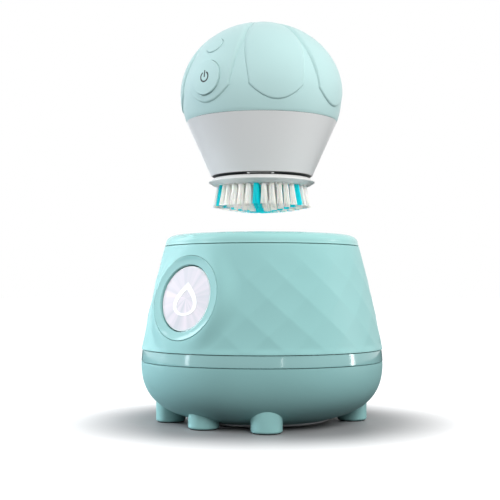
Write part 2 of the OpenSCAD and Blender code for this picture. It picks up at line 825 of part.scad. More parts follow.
module fan_rotor() {
    blades = 7;
    low = fan_z + 2;
    color([0.16, 0.16, 0.18]) {
        translate([0, 0, low]) cylinder(r = fan_hub_r, h = 7.2);
        for (k = [0:blades - 1]) spin(360 * k / blades) intersection() {
            translate([fan_hub_r - 0.5, 0, low + 3.6]) rotate([38, 0, 0])
                translate([0, -5, -0.45]) cube([10, 10, 0.9]);
            ring(fan_hub_r - 0.6, fan_duct_r - 0.6, low + 0.3, 6.6);
        }
    }
}

module station_board() {
    top = station_board_z + 1.6;
    color(board_green) difference() {
        ring(21, 46, station_board_z, 1.6);
        for (p = board_posts) spin(p[1]) translate([p[0], 0, station_board_z - 1])
            cylinder(r = 1.1, h = 4);
        for (p = frame_posts) spin(p[1]) translate([p[0], 0, station_board_z - 1])
            cylinder(r = 3.1, h = 4);
    }
    color(rubber_black) {
        translate([-34, -8, top]) cube([8, 8, 1.4]);
        translate([-6, -34, top]) cube([10, 6, 2]);
    }
    color(steel) for (x = [26, 33]) translate([x, -7, top]) cylinder(r = 2.6, h = 5);
}

// Round power socket with a centre contact
module power_jack() {
    depth = 9;
    back = 50.6;
    color(rubber_black) difference() {
        union() {
            translate([-4.4, back - 12, station_board_z + 1.6]) cube([8.8, 10.4, 8.9]);
            translate([0, back - 2, jack_z]) rotate([-90, 0, 0]) cylinder(r = 4.4, h = 4.6);
        }
        translate([0, back + 2.6 - depth, jack_z]) rotate([-90, 0, 0]) cylinder(r = 2.9, h = 12);
    }
    color(brass) translate([0, back + 2.6 - depth - eps, jack_z]) rotate([-90, 0, 0])
        cylinder(r = 1, h = depth - 1.4);
}

grip_shell();
power_button();
mode_button();
switch_boards();
lower_housing();
seam_seal();
neck_seal();
inner_chassis();
chassis_screws();
battery_cradle();
battery_cell();
main_board();
board_parts();
receiver_coil();
gearbox_plate();
motor_can();
motor_shaft();
motor_pinion();
idler_axle();
idler_gear();
output_gear();
drive_shaft();
shaft_bushing();
head_plate();
bristles_white();
bristles_teal();
rim_ring();
station_shell();
bezel_ring();
station_button();
button_emblem();
button_board();
trim_band();
base_bowl();
bottom_cover();
cover_screws();
cleaning_well();
drain_grille();
uv_lamps();
transmitter_coil();
station_frame();
frame_screws();
fan_frame();
fan_rotor();
station_board();
power_jack();
for (i = [1:5]) {
    foot(i);
    foot_pad(i);
}
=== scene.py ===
"""A palm-held facial cleansing brush over its drying station: surfaces, materials, studio."""

import json
import math
import random

import bmesh
import bpy
from mathutils import Matrix, Vector


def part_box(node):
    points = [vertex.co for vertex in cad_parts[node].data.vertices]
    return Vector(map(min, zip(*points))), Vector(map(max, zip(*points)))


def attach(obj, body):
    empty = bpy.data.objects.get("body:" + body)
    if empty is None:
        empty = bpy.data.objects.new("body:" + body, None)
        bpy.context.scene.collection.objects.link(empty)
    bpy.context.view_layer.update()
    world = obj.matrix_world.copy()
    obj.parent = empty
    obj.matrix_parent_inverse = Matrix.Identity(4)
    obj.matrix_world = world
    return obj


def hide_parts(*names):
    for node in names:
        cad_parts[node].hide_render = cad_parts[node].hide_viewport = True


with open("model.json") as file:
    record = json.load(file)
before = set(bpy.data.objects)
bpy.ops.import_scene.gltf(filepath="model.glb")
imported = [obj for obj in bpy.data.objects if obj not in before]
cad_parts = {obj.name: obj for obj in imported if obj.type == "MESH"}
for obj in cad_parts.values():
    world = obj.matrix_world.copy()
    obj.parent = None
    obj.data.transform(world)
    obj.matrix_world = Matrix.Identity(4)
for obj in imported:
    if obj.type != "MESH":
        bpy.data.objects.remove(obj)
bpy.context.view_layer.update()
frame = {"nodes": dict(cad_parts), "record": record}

MM = 0.001
RIDES_ON = {n: b for b, ns in frame["record"]["behaviour"]["bodies"].items() for n in ns}
SLOT_OF = {s["node"]: s["material_slot"] for s in frame["record"]["subparts"]}

# ---- Sizes: station, brush, petals, buttons, head and facets ----

RIM_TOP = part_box("rim_ring")[1].z
RIM_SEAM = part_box("rim_ring")[0].z - 0.1 * MM
RIM_SEAM_R = 44.4 * MM
STATION_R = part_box("station_shell")[1].x
BAND_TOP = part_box("station_shell")[0].z
BAND_BOTTOM = BAND_TOP - 5.3 * MM
BOWL_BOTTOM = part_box("base_bowl")[0].z
SHELL_BULGE = 0.73 * MM     # how far the shell's side bows out from a straight taper
WALL = 2.2 * MM
SEAM_GAP = 0.14 * MM        # half the width of a visible seam

SEAM_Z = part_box("grip_shell")[0].z
ORB_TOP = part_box("grip_shell")[1].z
PETAL_RELIEF = 0.7 * MM
DOME_H = 32.9 * MM
ORB_R = 36.8 * MM
ORB_Z = ORB_TOP - PETAL_RELIEF - DOME_H
SEAM_DROP = ORB_Z - SEAM_Z
SEAM_R = math.sqrt(ORB_R ** 2 - SEAM_DROP ** 2)
CONE_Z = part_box("neck_seal")[1].z
PLATE_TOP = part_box("head_plate")[1].z
PLATE_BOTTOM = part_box("head_plate")[0].z
PLATE_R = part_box("head_plate")[1].x
CONE_BOTTOM_R = PLATE_R - 0.95 * MM
CONE_SLOPE = (SEAM_R - CONE_BOTTOM_R) / (SEAM_Z - CONE_Z)

CAMERA_AZIMUTH = 41.2       # degrees round from the front

PETALS = 7
PETAL_LOW = -7.8 * MM       # height of a petal's tip over the equator
PETAL_CORNER = -1.2 * MM    # height where its sides meet its round end
PETAL_BASE = 19.2           # half its width there, in degrees
PETAL_FLARE = 0.165         # how fast that half widens, per degree up the dome
HALF_PITCH = 180 / PETALS   # degrees from a petal's middle to the middle of a valley
VALLEY = 0.4 * MM           # how far the valleys lie under the plain orb
POLE = 89.9                 # degrees up the dome where its rows stop and a flat face closes it

# Degrees up the dome, width, height over the petal and depth of the skirt of each push button
BUTTONS = {"power_button": (5.6, 16 * MM, 0.75 * MM, 4.4 * MM),
           "mode_button": (33, 8.8 * MM, 0.35 * MM, 3.7 * MM)}

LUG_TURN = 39.7             # degrees from the front to the first lug under the cone
LUG_ARC = 31
LUG_R = 20.7 * MM

TUFT_RINGS = 6
TUFT_RING_R = 19.6 * MM
TUFT_H = 9.5 * MM
TUFT_CROWN = 2.4 * MM       # how much longer the middle tuft is than the outermost
TUFT_TURN = 33.8            # degrees from the front to the first coloured spoke
TUFT_SPLAY = 9              # degrees that the outermost tufts lean out
ROOT_R = 0.95 * MM
TIP_R = 1.3 * MM

BUTTON_Z = 56.5 * MM        # height of the station button's middle
BUTTON_TILT = math.atan((STATION_R - RIM_SEAM_R) / (RIM_SEAM - BAND_TOP))
BEHIND = -20 * MM           # skin further back than this, seen from the button, is out of reach
BEZEL_R = 18.5 * MM
BEZEL_FLAT = 0.75           # 0 follows the shell's skin, 1 is a level ring
POCKET_R = BEZEL_R + SEAM_GAP
SWELL = 8 * MM              # width of the soft shoulder round the bezel
DISC_R = 14.2 * MM
DISC_DEPTH = 1.4 * MM
DISC_H = 3 * MM

FACETS_AROUND = 19
FACET_ROWS = 6
FACET_STEPS = 14                # mesh rows to a row of facets, and mesh columns to half a facet
FACET_PHASE = 23                # mesh columns from the front to a column of corners
FALLING_DISH = (0.17, 0.34)     # depths between the creases that fall to the right
RISING_DISH = (0.09, 0.26)      # and between those that rise to the right


# ---- Mesh helpers ----

def new_piece(name, verts, faces, sharp=35):
    """A smooth-shaded mesh object whose edges are sharp past an angle in degrees."""
    mesh = bpy.data.meshes.new(name)
    mesh.from_pydata([tuple(v) for v in verts], [], faces)
    obj = bpy.data.objects.new(name, mesh)
    bpy.context.scene.collection.objects.link(obj)
    tidy(obj, sharp)
    return obj


def tidy(obj, sharp=35):
    """Welds doubles, turns every face outwards and sets the shading."""
    bm = bmesh.new()
    bm.from_mesh(obj.data)
    bmesh.ops.remove_doubles(bm, verts=bm.verts, dist=1e-7)
    bmesh.ops.dissolve_degenerate(bm, edges=bm.edges, dist=1e-8)
    bmesh.ops.recalc_face_normals(bm, faces=bm.faces)
    bm.to_mesh(obj.data)
    bm.free()
    obj.data.polygons.foreach_set("use_smooth", [True] * len(obj.data.polygons))
    obj.data.set_sharp_from_angle(angle=math.radians(sharp))


def rounded(corners, steps=5):
    """Closed outline from corners (r, z, radius), each rounded by a smooth curve."""
    outline = []
    count = len(corners)
    for i, (r, z, radius) in enumerate(corners):
        here = Vector((r, z))
        if radius <= 0:
            outline.append(here)
            continue
        back = Vector(corners[i - 1][:2]) - here
        ahead = Vector(corners[(i + 1) % count][:2]) - here
        half = back.angle(ahead) / 2
        cut = min(radius / math.tan(half), 0.49 * back.length, 0.49 * ahead.length)
        start = here + back.normalized() * cut
        end = here + ahead.normalized() * cut
        for k in range(steps + 1):
            t = k / steps
            outline.append((1 - t) ** 2 * start + 2 * t * (1 - t) * here + t * t * end)
    return outline


def quads(rows, columns, closed=True):
    """Faces between rows of vertices that each go full circle; closed joins the last to the first."""
    return [(j * columns + i, j * columns + (i + 1) % columns,
             (j + 1) % rows * columns + (i + 1) % columns, (j + 1) % rows * columns + i)
            for j in range(rows if closed else rows - 1) for i in range(columns)]


def tube(rows, columns):
    """Faces of a run of rows with a flat end at each side."""
    ends = [tuple(range(columns)), tuple((rows - 1) * columns + i for i in reversed(range(columns)))]
    return quads(rows, columns, closed=False) + ends


def lathe(name, outline, segments=256, sharp=35):
    """A piece turned round the Z axis from a closed outline of (r, z)."""
    verts = []
    for s in range(segments):
        a = math.tau * s / segments
        verts += [(r * math.cos(a), r * math.sin(a), z) for r, z in outline]
    return new_piece(name, verts, quads(segments, len(outline)), sharp)


def at_turn(turn, r, z):
    """The point at radius r and height z, turned by an angle in radians from the front."""
    return (r * math.sin(turn), -r * math.cos(turn), z)


def cut(obj, *cutters):
    """Takes the cutters away from obj, and removes them."""
    for cutter in cutters:
        modifier = obj.modifiers.new("cut", "BOOLEAN")
        modifier.operation = "DIFFERENCE"
        modifier.solver = "EXACT"
        modifier.object = cutter
        bpy.context.view_layer.update()
        with bpy.context.temp_override(object=obj, active_object=obj):
            bpy.ops.object.modifier_apply(modifier=modifier.name)
        bpy.data.objects.remove(cutter)
    tidy(obj)


def move(obj, matrix):
    """Puts obj's own vertices where matrix says, so that its origin stays at the frame's."""
    obj.data.transform(matrix)
    return obj


def join(name, objs):
    """One object from several, with their materials."""
    with bpy.context.temp_override(active_object=objs[0], object=objs[0],
                                   selected_objects=objs, selected_editable_objects=objs):
        bpy.ops.object.join()
    objs[0].name = name
    return objs[0]


def finish_piece(obj, node, stands_for=True, slot=None, look=None):
    """Rides obj on the body of a CAD node, in the material of that node's slot unless another is
    given, and hides the node that obj stands for.
    """
    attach(obj, RIDES_ON[node])
    slot = slot or SLOT_OF[node]
    if stands_for:
        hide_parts(node)
    obj.data.materials.clear()
    obj.data.materials.append(MATERIALS[look or slot])


def step(x):
    """Smooth step from 0 to 1 as x goes from 0 to 1."""
    x = min(1.0, max(0.0, x))
    return x * x * (3 - 2 * x)


# ---- Materials ----

def material(name, colour, roughness, tint=0.04, blotch=25, grain=2600, bump=0.25,
             rough_spread=0.05, **sockets):
    """Moulded plastic, rubber or metal: a tint that drifts, a fine grain and an uneven sheen."""
    mat = bpy.data.materials.new(name)
    mat.use_nodes = True
    nodes, links = mat.node_tree.nodes, mat.node_tree.links
    shader = nodes["Principled BSDF"]
    for socket, value in sockets.items():
        shader.inputs[socket.replace("_", " ")].default_value = value
    place = nodes.new("ShaderNodeTexCoord")

    def noise(scale, detail):
        node = nodes.new("ShaderNodeTexNoise")
        node.inputs["Scale"].default_value = scale
        node.inputs["Detail"].default_value = detail
        links.new(place.outputs["Object"], node.inputs["Vector"])
        return node.outputs["Fac"]

    drift = noise(blotch, 3)
    mix = nodes.new("ShaderNodeMix")
    mix.data_type = "RGBA"
    mix.inputs["A"].default_value = (*[c * (1 - tint) for c in colour], 1)
    mix.inputs["B"].default_value = (*[min(1, c * (1 + tint)) for c in colour], 1)
    links.new(drift, mix.inputs["Factor"])
    links.new(mix.outputs["Result"], shader.inputs["Base Color"])

    spread = nodes.new("ShaderNodeMapRange")
    spread.inputs["To Min"].default_value = max(0.02, roughness - rough_spread)
    spread.inputs["To Max"].default_value = min(1, roughness + rough_spread)
    links.new(noise(blotch * 6, 4), spread.inputs["Value"])
    links.new(spread.outputs["Result"], shader.inputs["Roughness"])

    relief = nodes.new("ShaderNodeBump")
    relief.inputs["Strength"].default_value = bump
    relief.inputs["Distance"].default_value = 0.02 * MM
    links.new(noise(grain, 2), relief.inputs["Height"])
    links.new(relief.outputs["Normal"], shader.inputs["Normal"])
    return mat


def make_materials():
    """One look for each slot of the record, and a few more for mouldings that differ from it, among
    them darker and lighter copies of the aqua that paint shade and light.
    """
    aqua = (0.30, 0.57, 0.56)
    # darker copy of the aqua for the band and the bowl: painted shade that darkens the lower parts
    # towards the floor
    shaded_aqua = (0.26, 0.49, 0.485)
    return {
        "soft_aqua": material("soft_touch_aqua", (0.49, 0.70, 0.69), 0.52, grain=4200,
                              bump=0.3, Sheen_Weight=0.25, Sheen_Roughness=0.4,
                              Specular_IOR_Level=0.35),
        "shell_aqua": material("matte_aqua", aqua, 0.42, grain=3400, bump=0.3,
                               Specular_IOR_Level=0.4),
        "gloss_aqua": material("gloss_aqua", aqua, 0.10, bump=0.02, rough_spread=0.03,
                               Coat_Weight=0.3, Coat_Roughness=0.03),
        "band_aqua_painted_shade": material("band_aqua_painted_shade", shaded_aqua, 0.12, bump=0.02, rough_spread=0.03,
                              Coat_Weight=0.3, Coat_Roughness=0.03),
        "bowl_aqua_painted_shade": material("bowl_aqua_painted_shade", shaded_aqua, 0.42, grain=3400, bump=0.3,
                              Specular_IOR_Level=0.4),
        # satin copy of the aqua for the rim, made a little lighter: painted light
        "satin_lit_aqua": material("satin_lit_aqua", (0.325, 0.62, 0.60), 0.24, tint=0.02, bump=0.02,
                               rough_spread=0.006),
        "foot_aqua": material("foot_aqua", aqua, 0.3, bump=0.1),
        "cone_grey": material("cone_grey", (0.77, 0.775, 0.77), 0.3, tint=0.015, bump=0.06,
                              rough_spread=0.01),
        "white_plastic": material("white_plastic", (0.72, 0.72, 0.71), 0.3, tint=0.02, bump=0.08),
        "well_white": material("well_white", (0.80, 0.83, 0.83), 0.15, tint=0.02, bump=0.03),
        "bristle_white": material("white_nylon", (0.93, 0.91, 0.87), 0.35, tint=0.06, blotch=900,
                                  bump=0.1, Subsurface_Weight=0.15, Subsurface_Scale=0.0006),
        "bristle_teal": material("teal_nylon", (0.0, 0.74, 0.82), 0.35, tint=0.12, blotch=900,
                                 bump=0.1, Subsurface_Weight=0.15, Subsurface_Scale=0.0006),
        "button_lilac": pearl("pearl_lilac_painted_sheen"),
        "emblem_white": material("emblem_white", (0.97, 0.98, 0.98), 0.25, tint=0.01, bump=0.05),
        "rubber_black": material("rubber_black", (0.018, 0.018, 0.02), 0.6, bump=0.5),
        "rubber_grey": material("rubber_dark", (0.014, 0.02, 0.022), 0.5, bump=0.4),
        "steel": material("machined_steel", (0.55, 0.56, 0.58), 0.28, tint=0.08, blotch=300,
                          Metallic=1.0),
        "brass": material("sintered_brass", (0.66, 0.47, 0.20), 0.3, tint=0.1, blotch=300,
                          Metallic=1.0),
        "copper": winding("copper_winding"),
        "board_green": material("solder_mask", (0.012, 0.09, 0.045), 0.28, tint=0.2, blotch=200),
        "parts_black": material("moulded_black", (0.02, 0.02, 0.022), 0.45, bump=0.4),
        "battery_blue": material("cell_wrap", (0.03, 0.10, 0.30), 0.2, tint=0.1, bump=0.1),
        "gear_white": material("acetal", (0.80, 0.79, 0.74), 0.32, bump=0.1),
        "chassis_grey": material("moulded_grey", (0.42, 0.44, 0.45), 0.42, bump=0.3),
        "lens_clear": material("lens_clear", (0.70, 0.66, 0.95), 0.08, tint=0.02, bump=0.02,
                               Transmission_Weight=0.7, IOR=1.46),
    }


def winding(name):
    """Enamelled copper wire in close turns round the Z axis."""
    mat = material(name, (0.62, 0.24, 0.10), 0.3, tint=0.15, blotch=400, Metallic=0.9)
    nodes, links = mat.node_tree.nodes, mat.node_tree.links
    place = nodes.new("ShaderNodeTexCoord")
    turns = nodes.new("ShaderNodeTexWave")
    turns.bands_direction = "Z"
    turns.inputs["Scale"].default_value = 700
    links.new(place.outputs["Object"], turns.inputs["Vector"])
    relief = nodes.new("ShaderNodeBump")
    relief.inputs["Distance"].default_value = 0.15 * MM
    links.new(turns.outputs["Fac"], relief.inputs["Height"])
    links.new(relief.outputs["Normal"], nodes["Principled BSDF"].inputs["Normal"])
    return mat


def pearl(name):
    """Lilac pearl lacquer on the disc, with painted sheen: lilac and grey rays from its middle stand
    in for the light that its spun face reflects.
    """
    mat = material(name, (0.6, 0.58, 0.62), 0.4, bump=0.05)
    nodes, links = mat.node_tree.nodes, mat.node_tree.links
    place = nodes.new("ShaderNodeTexCoord")
    level = nodes.new("ShaderNodeMapping")
    turn = BUTTON_PLACE.inverted()
    level.inputs["Location"].default_value = turn.translation
    level.inputs["Rotation"].default_value = turn.to_euler()
    flat = nodes.new("ShaderNodeVectorMath")
    flat.operation = "MULTIPLY"
    flat.inputs[1].default_value = (1, 1, 0)
    ray = nodes.new("ShaderNodeVectorMath")
    ray.operation = "NORMALIZE"
    noise = nodes.new("ShaderNodeTexNoise")
    noise.inputs["Scale"].default_value = 2.2
    noise.inputs["Detail"].default_value = 2
    # painted sheen: grey and lilac rays round the disc's middle stand in for reflected light
    mix = nodes.new("ShaderNodeMix")
    mix.data_type = "RGBA"
    mix.inputs["A"].default_value = (0.60, 0.61, 0.65, 1)
    mix.inputs["B"].default_value = (0.82, 0.75, 0.80, 1)
    sharpen = nodes.new("ShaderNodeMapRange")
    sharpen.inputs["From Min"].default_value = 0.35
    sharpen.inputs["From Max"].default_value = 0.65
    links.new(place.outputs["Object"], level.inputs["Vector"])
    links.new(level.outputs["Vector"], flat.inputs[0])
    links.new(flat.outputs["Vector"], ray.inputs[0])
    links.new(ray.outputs["Vector"], noise.inputs["Vector"])
    links.new(noise.outputs["Fac"], sharpen.inputs["Value"])
    links.new(sharpen.outputs["Result"], mix.inputs["Factor"])
    links.new(mix.outputs["Result"], nodes["Principled BSDF"].inputs["Base Color"])
    return mat


# ---- Camera, light and floor ----

def aim(obj, at):
    """Turns a light so that it points at a spot."""
    obj.rotation_euler = (Vector(at) - obj.location).to_track_quat("-Z", "Y").to_euler()


def round_camera(degrees, distance, height):
    """A point at an angle round from the camera's own direction, to its right if positive."""
    return Vector(at_turn(math.radians(CAMERA_AZIMUTH + degrees), distance, height))


def make_camera():
    """A long lens level with the station's shell, turned slightly up and to the left."""
    data = bpy.data.cameras.new("camera")
    data.sensor_width = 36
    data.lens = 74.2
    data.clip_start = 0.01
    camera = bpy.data.objects.new("camera", data)
    bpy.context.scene.collection.objects.link(camera)
    camera.location = round_camera(degrees=0, distance=0.4743, height=0.0603)
    yaw = 0.656
    pitch = 2.15
    camera.rotation_euler = (math.radians(90 + pitch), 0, math.radians(CAMERA_AZIMUTH + yaw))
    bpy.context.scene.camera = camera


def softbox(name, degrees, distance, height, size, power, colour, at_height, mirrored=True,
            beam=180):
    """A rectangular light with a beam in degrees, which glossy surfaces only show if mirrored."""
    data = bpy.data.lights.new(name, "AREA")
    data.shape = "RECTANGLE"
    data.size = size[0]
    data.size_y = size[1]
    data.energy = power
    data.color = colour
    data.spread = math.radians(beam)
    light = bpy.data.objects.new(name, data)
    bpy.context.scene.collection.objects.link(light)
    light.location = round_camera(degrees, distance, height)
    light.visible_glossy = mirrored
    aim(light, (0, 0, at_height))
    return light


def seen_or_lit(nodes, links, seen, lit, output, mirrored=False):
    """One shader for what the eye sees of the studio, another for how it lights the object."""
    path = nodes.new("ShaderNodeLightPath")
    choose = nodes.new("ShaderNodeMixShader")
    eye = path.outputs["Is Camera Ray"]
    if mirrored:
        either = nodes.new("ShaderNodeMath")
        either.operation = "MAXIMUM"
        links.new(eye, either.inputs[0])
        links.new(path.outputs["Is Glossy Ray"], either.inputs[1])
        eye = either.outputs["Value"]
    links.new(eye, choose.inputs["Fac"])
    links.new(lit.outputs[0], choose.inputs[1])
    links.new(seen.outputs[0], choose.inputs[2])
    links.new(choose.outputs["Shader"], output.inputs["Surface"])


def make_light():
    """Tall strips and panes at both sides, a large soft light in front, and a pale backdrop."""
    white = (1, 1, 1)
    cool = (0.88, 0.93, 1.0)
    softbox("left_strip", -71, 0.7, 0.36, (0.055, 0.7), 0.9, cool, 0.11)
    softbox("left_high", -85, 0.7, 0.75, (0.05, 0.5), 0.35, cool, 0.11)
    softbox("left_pane", -110, 0.75, 0.42, (0.3, 0.4), 1.2, cool, 0.1)
    softbox("left_wide", -114, 0.75, 0.22, (0.2, 0.4), 2.0, cool, 0.08, mirrored=False)
    softbox("left_low", -104, 0.5, 0.07, (0.1, 0.1), 0.08, cool, 0.03, mirrored=False, beam=32)
    softbox("right_strip", 90, 0.7, 0.13, (0.05, 0.26), 0.6, white, 0.11)
    softbox("right_wide", 92, 0.75, 0.5, (0.3, 0.4), 2.9, white, 0.12, mirrored=False)
    softbox("front", 14, 0.85, 0.58, (0.6, 0.4), 6.3, white, 0.11, mirrored=False)
    softbox("front_low", 6, 0.5, 0.05, (0.12, 0.06), 0.003, white, 0.12, mirrored=False, beam=14)
    softbox("front_spark", 18, 0.8, 0.1, (0.02, 0.14), 0.05, white, 0.06)

    # stands in for the light that the pale well throws up at the bristles
    glow = softbox("well_glow", 0, 0.001, RIM_TOP, (0.035, 0.035), 0.005, white, 1,
                   mirrored=False, beam=60)
    glow.visible_camera = False

    world = bpy.data.worlds.new("studio")
    bpy.context.scene.world = world
    world.use_nodes = True
    nodes, links = world.node_tree.nodes, world.node_tree.links
    seen = nodes["Background"]
    seen.inputs["Color"].default_value = (1, 1, 1, 1)
    seen.inputs["Strength"].default_value = 1.0
    lit = nodes.new("ShaderNodeBackground")
    lit.inputs["Color"].default_value = (0.97, 0.99, 1.0, 1)
    lit.inputs["Strength"].default_value = 0.38
    seen_or_lit(nodes, links, seen, lit, nodes["World Output"], mirrored=True)
    bpy.context.scene.view_settings.view_transform = "Standard"


def make_floor():
    """A wide sweep, grey near the object and glowing white further out, so that a painted shadow pool
    lies round the object; it throws little light back up at the object.
    """
    floor_r = 6.0
    sides = 64
    verts = [(floor_r * math.cos(a), floor_r * math.sin(a), 0)
             for a in (math.tau * k / sides for k in range(sides))]
    floor = new_piece("floor", verts, [tuple(range(sides))])
    # grey floor colour: near the object, where no glow is added, it shows as painted shadow
    mat = material("studio_floor_painted_shadow", (0.32, 0.32, 0.325), 0.5, tint=0.005, bump=0.02)
    nodes, links = mat.node_tree.nodes, mat.node_tree.links
    shader = nodes["Principled BSDF"]
    shader.inputs["Specular IOR Level"].default_value = 0.1
    shader.inputs["Emission Color"].default_value = (1, 1, 1, 1)

    # away from the object the sweep glows as the backdrop does, so it has no horizon; the glow fades
    # out towards the object, which paints a dark shadow pool round it
    place = nodes.new("ShaderNodeTexCoord")
    length = nodes.new("ShaderNodeVectorMath")
    length.operation = "LENGTH"
    links.new(place.outputs["Object"], length.inputs[0])
    glow = nodes.new("ShaderNodeMapRange")
    glow.interpolation_type = "SMOOTHSTEP"
    for socket, value in (("From Min", 0.05), ("From Max", 0.105), ("To Min", 0), ("To Max", 0.82)):
        glow.inputs[socket].default_value = value
    links.new(length.outputs["Value"], glow.inputs["Value"])
    links.new(glow.outputs["Result"], shader.inputs["Emission Strength"])

    dim = nodes.new("ShaderNodeBsdfDiffuse")
    dim.inputs["Color"].default_value = (0.12, 0.12, 0.125, 1)
    seen_or_lit(nodes, links, shader, dim, nodes["Material Output"])
    floor.data.materials.append(mat)


# ---- Brush: dome, cone and buttons ----

def petal_half(t):
    """Half the width of a petal, in degrees round the orb, at t degrees up the dome."""
    narrowest = 0.3
    return min(PETAL_BASE + PETAL_FLARE * max(0, t), HALF_PITCH - narrowest)


def petal_line(off):
    """Height over the equator of a petal's lower edge, at off degrees from its middle."""
    share = min(1, abs(off) / PETAL_BASE)
    return PETAL_LOW + (PETAL_CORNER - PETAL_LOW) * share * share


def dome_relief(off, t, z):
    """Height of the skin over the plain orb, at off degrees from a petal's middle."""
    degree = math.radians(1)
    to_side = (petal_half(t) - abs(off)) * degree * ORB_R * math.cos(math.radians(t))
    lean = 2 * (PETAL_CORNER - PETAL_LOW) * abs(off) / (PETAL_BASE ** 2 * degree * ORB_R)
    to_end = (z - petal_line(off)) / math.hypot(1, lean)
    side_wall = (0.9 + 1.7 * step(t / 40)) * MM
    end_wall = 0.95 * MM
    share = min(to_side / side_wall, to_end / end_wall)
    rise = 1 - (1 - min(1, max(0, share))) ** 2.4
    # the petals run into one another near the pole
    fade = step((t - 60) / 22)
    rise += (1 - rise) * fade
    valley = VALLEY * step((z - PETAL_CORNER) / (12 * MM)) * (1 - fade)
    pillow = 0.10 * MM * math.exp(-max(0, min(to_side, to_end)) / (3.5 * MM))
    return (PETAL_RELIEF - pillow) * rise - valley * (1 - rise)


def dome_point(turn, t, height):
    """The point at turn degrees round and t degrees up the orb, at a height over its surface."""
    half = DOME_H if t > 0 else ORB_R
    up = math.radians(t)
    return at_turn(math.radians(turn), (ORB_R + height) * math.cos(up),
                   ORB_Z + (half + height) * math.sin(up))


def button_place(t):
    """Matrix with +Z out of the orb at a button's centre, on its petal."""
    e = math.radians(t)
    tilt = math.atan(math.tan(e) * ORB_R / DOME_H)
    spot = Vector((0, -(ORB_R + PETAL_RELIEF) * math.cos(e),
                   ORB_Z + (DOME_H + PETAL_RELIEF) * math.sin(e)))
    return Matrix.Translation(spot) @ Matrix.Rotation(math.pi / 2 - tilt, 4, "X")


def petal_columns():
    """Places across a petal and its half valleys: -1 and 1 are its edges, 2 the valley's middle."""
    inner = [1 - (1 - k / 24) ** 1.8 for k in range(25)]
    half = inner + [1 + k / 8 for k in range(1, 8)]
    return [-x for x in half[:0:-1]] + half + [2]


def column_turn(place, t):
    """Degrees from a petal's middle of a column's place, at t degrees up the dome."""
    half = petal_half(t)
    if abs(place) <= 1:
        return place * half
    return math.copysign(half + (abs(place) - 1) * (HALF_PITCH - half), place)


def make_dome():
    """The soft dome: rows up to the petals' lower edges, then up to the pole, and the inside."""
    places = petal_columns()
    around = len(places) * PETALS
    columns = [(2 * HALF_PITCH * petal, place) for petal in range(PETALS) for place in places]
    below, above, inner_rows = 16, 120, 14
    bottom = -SEAM_DROP
    lip = 0.14 * MM
    verts = []
    for j in range(below + above + 1):
        for middle, place in columns:
            edge = petal_line(column_turn(place, 0))
            if j <= below:
                z = bottom + (edge - bottom) * (1 - (1 - j / below) ** 1.3)
                t = math.degrees(math.asin(z / ORB_R))
            else:
                start = math.degrees(math.asin(edge / ORB_R))
                t = start + (POLE - start) * ((j - below) / above) ** 1.35
                z = (DOME_H if t > 0 else ORB_R) * math.sin(math.radians(t))
            off = column_turn(place, t)
            tuck = lip * (1 - min(1, (z + SEAM_DROP) / lip)) ** 2
            verts.append(dome_point(middle + off, t, dome_relief(off, t, z) - tuck))
    start = -math.degrees(math.asin(SEAM_DROP / ORB_R))
    for j in range(inner_rows + 1):
        t = start + (POLE - start) * (1 - j / inner_rows)
        verts += [dome_point(middle + column_turn(place, t), t, -WALL) for middle, place in columns]

    # the outer and the inner skin meet at the seam, and each is closed at its own pole
    top = below + above
    faces = quads(top + inner_rows + 2, around)
    del faces[top * around:(top + 1) * around]
    faces.append([top * around + i for i in range(around)])
    faces.append([(top + 1) * around + i for i in reversed(range(around))])
    dome = new_piece("grip_dome", verts, faces, 30)

    cutters = []
    for t, width, *_ in BUTTONS.values():
        r = width / 2
        low, high = -8 * MM, 0.7 * MM
        outline = rounded([(0, low, 0), (r, low, 0), (r, -0.3 * MM, 0.2 * MM),
                           (r + 0.5 * MM, high, 0), (0, high, 0)])
        cutters.append(move(lathe("cutter", outline, 96), button_place(t)))
    cut(dome, *cutters)
    finish_piece(dome, "grip_shell")


def cap_height(r, proud):
    """Height of a cap's face at r from its middle, over the petal's surface there."""
    return proud + math.sqrt(ORB_R ** 2 - r * r) - ORB_R


def make_caps():
    """Both push buttons: round caps that stand proud of the petal."""
    edge = 0.35 * MM
    flange = 0.8 * MM
    stem_r = 1.8 * MM
    stem_end = -6.2 * MM
    for node, (t, width, proud, skirt) in BUTTONS.items():
        r = width / 2 - 0.2 * MM
        face = [(r - edge) * k / 10 for k in range(11)]
        outline = [Vector((x, cap_height(x, proud))) for x in face]
        top = outline[-1].y
        outline += [Vector((r - edge + edge * math.sin(a), top - edge + edge * math.cos(a)))
                    for a in (math.pi / 2 * k / 8 for k in range(1, 9))]
        outline += [Vector(corner) for corner in (
            (r, -skirt), (r + flange, -skirt), (r + flange, -skirt - flange),
            (stem_r, -skirt - flange), (stem_r, stem_end), (0, stem_end))]
        finish_piece(move(lathe(node + "_cap", outline, 128), button_place(t)), node)


